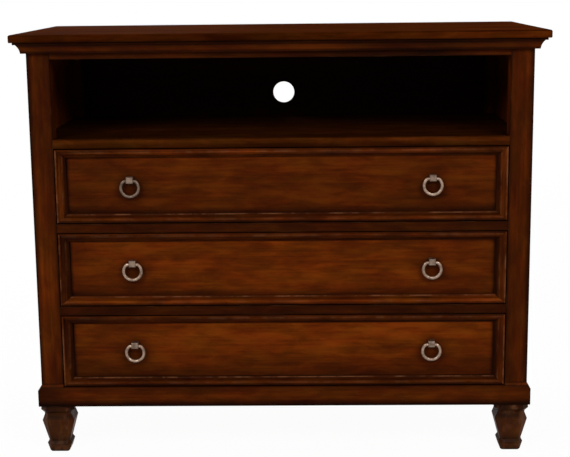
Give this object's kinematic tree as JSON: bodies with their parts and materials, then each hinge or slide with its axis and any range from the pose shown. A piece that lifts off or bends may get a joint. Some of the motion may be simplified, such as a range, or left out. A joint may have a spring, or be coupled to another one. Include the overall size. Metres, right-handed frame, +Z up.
{
  "type": "media chest",
  "caption": "Free-standing wooden media chest: open compartment with a cable hole above wide drawers with hinged ring pulls, moulded top and base, tapered block feet.",
  "frame": {"origin": "on the floor, under the middle of the chest's outer box", "axes": "+X along the front to the right as seen from the front, +Y to the back, +Z up; the front faces -Y"},
  "size_m": [1.232, 0.514, 1.016],
  "materials": {
    "stained_wood": "dark cherry stain, satin lacquer",
    "drawer_wood": "clear sealed hardwood",
    "inner_wood": "unfinished",
    "back_board": "dark stained thin board",
    "aged_nickel": "aged brushed nickel",
    "plain_steel": "zinc plated",
    "nylon": "matte"
  },
  "bodies": {
    "case": {"back_panel_lower": "back_board", "back_panel_upper": "back_board", "back_rails": "inner_wood", "base_caps": "stained_wood", "base_rail_back": "stained_wood", "base_rail_front": "stained_wood", "base_rail_left": "stained_wood", "base_rail_right": "stained_wood", "compartment_shelf": "stained_wood", "corner_blocks": "inner_wood", "crown_front": "stained_wood", "crown_sides": "stained_wood", "divider_rail_lower": "stained_wood", "divider_rail_upper": "stained_wood", "drawer_guides": "inner_wood", "drawer_runners": "inner_wood", "drawer_stops": "inner_wood", "foot_bolts": "plain_steel", "foot_front_left": "stained_wood", "foot_front_right": "stained_wood", "foot_glides": "nylon", "foot_rear_left": "stained_wood", "foot_rear_right": "stained_wood", "front_post_left": "stained_wood", "front_post_right": "stained_wood", "rear_post_left": "stained_wood", "rear_post_right": "stained_wood", "side_panel_left": "stained_wood", "side_panel_right": "stained_wood", "side_rails": "stained_wood", "top_board": "stained_wood", "top_rail": "stained_wood"},
    "drawer_1": {"drawer_1_back": "drawer_wood", "drawer_1_border": "stained_wood", "drawer_1_bottom": "drawer_wood", "drawer_1_front": "stained_wood", "drawer_1_pull_bosses": "aged_nickel", "drawer_1_pull_screws": "plain_steel", "drawer_1_sides": "drawer_wood"},
    "drawer_2": {"drawer_2_back": "drawer_wood", "drawer_2_border": "stained_wood", "drawer_2_bottom": "drawer_wood", "drawer_2_front": "stained_wood", "drawer_2_pull_bosses": "aged_nickel", "drawer_2_pull_screws": "plain_steel", "drawer_2_sides": "drawer_wood"},
    "drawer_3": {"drawer_3_back": "drawer_wood", "drawer_3_border": "stained_wood", "drawer_3_bottom": "drawer_wood", "drawer_3_front": "stained_wood", "drawer_3_pull_bosses": "aged_nickel", "drawer_3_pull_screws": "plain_steel", "drawer_3_sides": "drawer_wood"},
    "ring_1_left": {"ring_1_left": "aged_nickel"},
    "ring_1_right": {"ring_1_right": "aged_nickel"},
    "ring_2_left": {"ring_2_left": "aged_nickel"},
    "ring_2_right": {"ring_2_right": "aged_nickel"},
    "ring_3_left": {"ring_3_left": "aged_nickel"},
    "ring_3_right": {"ring_3_right": "aged_nickel"}
  },
  "joints": [
    {"name": "drawer_1_slide", "type": "slide", "parent": "case", "child": "drawer_1", "axis": [0, -1, 0], "range_m": [0, 0.28]},
    {"name": "drawer_2_slide", "type": "slide", "parent": "case", "child": "drawer_2", "axis": [0, -1, 0], "range_m": [0, 0.28]},
    {"name": "drawer_3_slide", "type": "slide", "parent": "case", "child": "drawer_3", "axis": [0, -1, 0], "range_m": [0, 0.28]},
    {"name": "ring_1_left_swing", "type": "hinge", "parent": "drawer_1", "child": "ring_1_left", "pos_m": [-0.355, -0.223, 0.6722], "axis": [-1, 0, 0], "range_deg": [-8, 175]},
    {"name": "ring_1_right_swing", "type": "hinge", "parent": "drawer_1", "child": "ring_1_right", "pos_m": [0.355, -0.223, 0.6722], "axis": [-1, 0, 0], "range_deg": [-8, 175]},
    {"name": "ring_2_left_swing", "type": "hinge", "parent": "drawer_2", "child": "ring_2_left", "pos_m": [-0.355, -0.223, 0.4712], "axis": [-1, 0, 0], "range_deg": [-8, 175]},
    {"name": "ring_2_right_swing", "type": "hinge", "parent": "drawer_2", "child": "ring_2_right", "pos_m": [0.355, -0.223, 0.4712], "axis": [-1, 0, 0], "range_deg": [-8, 175]},
    {"name": "ring_3_left_swing", "type": "hinge", "parent": "drawer_3", "child": "ring_3_left", "pos_m": [-0.355, -0.223, 0.2702], "axis": [-1, 0, 0], "range_deg": [-8, 175]},
    {"name": "ring_3_right_swing", "type": "hinge", "parent": "drawer_3", "child": "ring_3_right", "pos_m": [0.355, -0.223, 0.2702], "axis": [-1, 0, 0], "range_deg": [-8, 175]}
  ]
}
